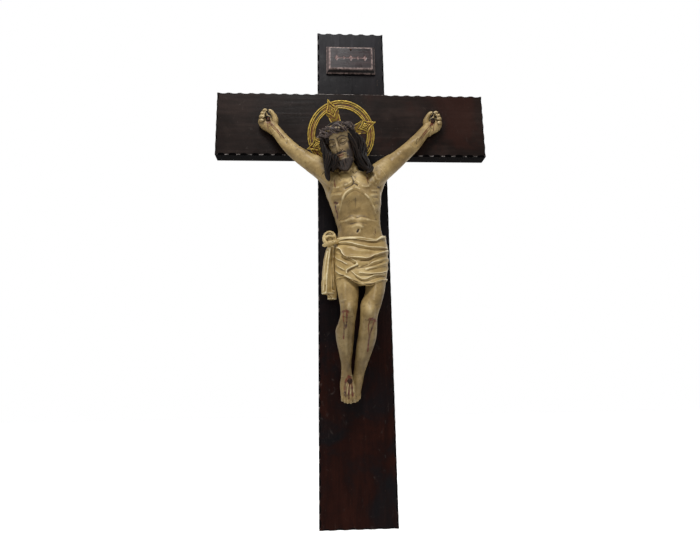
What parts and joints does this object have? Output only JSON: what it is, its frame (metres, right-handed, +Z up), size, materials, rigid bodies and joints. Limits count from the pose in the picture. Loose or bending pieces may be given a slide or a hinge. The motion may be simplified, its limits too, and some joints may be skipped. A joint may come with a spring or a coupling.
{
  "type": "crucifix",
  "caption": "Wall crucifix: half-lapped dark cross with notched edges, painted carved figure in a loincloth, twisted thorn crown, gilt cross halo and a bevelled title block.",
  "frame": {"origin": "on the back face of the post, which lies on the wall, at the centre of the crossing of the two boards", "axes": "+Z up along the post, +X towards the figure's left hand (the viewer's right), -Y out of the wall towards the viewer"},
  "size_m": [0.56, 0.1513, 1],
  "materials": {
    "dark_wood": "dark brown-black stain under worn gloss varnish",
    "plaque_wood": "dark stain with worn pinkish edges",
    "flesh_paint": "aged flesh-coloured oil paint on carved wood, satin",
    "hair_paint": "dark brown paint on carved wood, satin",
    "cloth_paint": "aged cream paint on carved wood, satin",
    "twig": "grey-brown twisted twigs, dull",
    "gilt": "gold leaf over red clay, burnished on the rims",
    "iron": "dark forged iron",
    "steel": "plain steel",
    "dowel_wood": "bare beech"
  },
  "bodies": {
    "root": {"post": "dark_wood", "crossbar": "dark_wood", "lap_screw_1": "steel", "lap_screw_2": "steel", "lap_screw_3": "steel", "lap_screw_4": "steel", "title_block": "plaque_wood", "title_pin": "iron", "figure_body": "flesh_paint", "right_arm": "flesh_paint", "right_shoulder_dowel": "dowel_wood", "right_hand_nail": "iron", "left_arm": "flesh_paint", "left_shoulder_dowel": "dowel_wood", "left_hand_nail": "iron", "foot_nail": "iron", "body_screw": "steel", "neck_dowel": "dowel_wood", "head": "hair_paint", "crown_branch_1": "twig", "crown_branch_2": "twig", "crown_branch_3": "twig", "halo": "gilt", "halo_pin": "steel", "loincloth": "cloth_paint", "loincloth_knot": "cloth_paint", "loincloth_end": "cloth_paint"}
  },
  "joints": []
}
